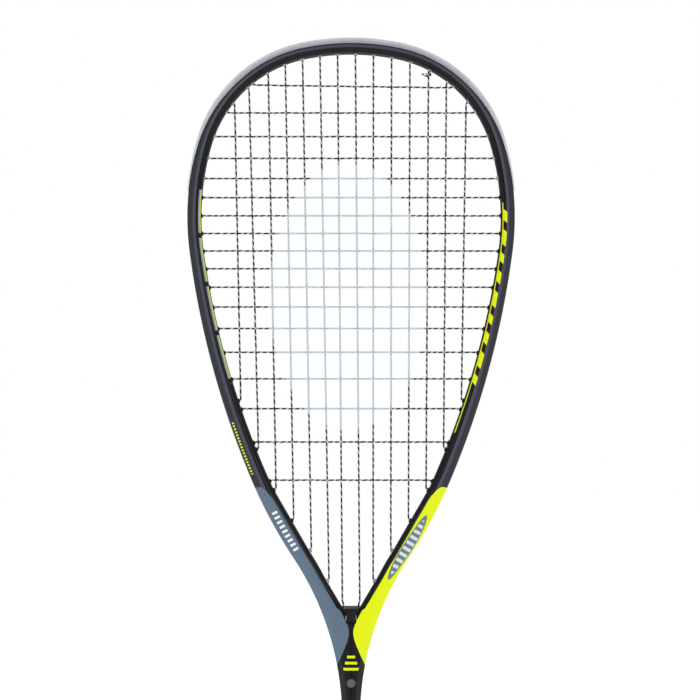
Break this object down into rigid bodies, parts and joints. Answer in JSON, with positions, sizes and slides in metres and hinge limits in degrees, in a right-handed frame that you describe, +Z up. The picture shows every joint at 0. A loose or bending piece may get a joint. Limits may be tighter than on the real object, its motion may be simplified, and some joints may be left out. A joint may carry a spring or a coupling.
{
  "type": "squash racket",
  "caption": "Teardrop-head squash racket: carbon tube frame, woven strings, head bumper, grommet strips and wrapped handle.",
  "frame": {"origin": "middle of the butt cap's flat end", "axes": "+Z up the handle to the head, +X across the head in the plane of the strings, +Y square to the string bed"},
  "size_m": [0.2146, 0.0294, 0.686],
  "materials": {
    "carbon_lacquer": "lacquered, satin to gloss",
    "black_plastic": "moulded, matte",
    "clear_grey_plastic": "translucent grey, moulded",
    "light_nylon": "moulded",
    "string_nylon": "silver with a dark spiral",
    "core_foam": "rigid moulded foam",
    "grip_polyurethane": "soft synthetic, perforated",
    "finishing_tape": "vinyl tape",
    "collar_rubber": "matte"
  },
  "bodies": {
    "root": {"frame": "carbon_lacquer", "throat_insert": "black_plastic", "head_bumper": "clear_grey_plastic", "side_strip_left": "black_plastic", "side_strip_right": "black_plastic", "throat_strip_left": "black_plastic", "throat_strip_right": "black_plastic", "throat_grommet_left_1": "light_nylon", "throat_grommet_left_2": "light_nylon", "throat_grommet_right_1": "light_nylon", "throat_grommet_right_2": "light_nylon", "main_string": "string_nylon", "cross_string": "string_nylon", "tie_off_knot": "string_nylon", "handle_core_front": "core_foam", "handle_core_back": "core_foam", "base_grip": "grip_polyurethane", "finishing_tape": "finishing_tape", "grip_collar": "collar_rubber", "butt_cap": "black_plastic"}
  },
  "joints": []
}
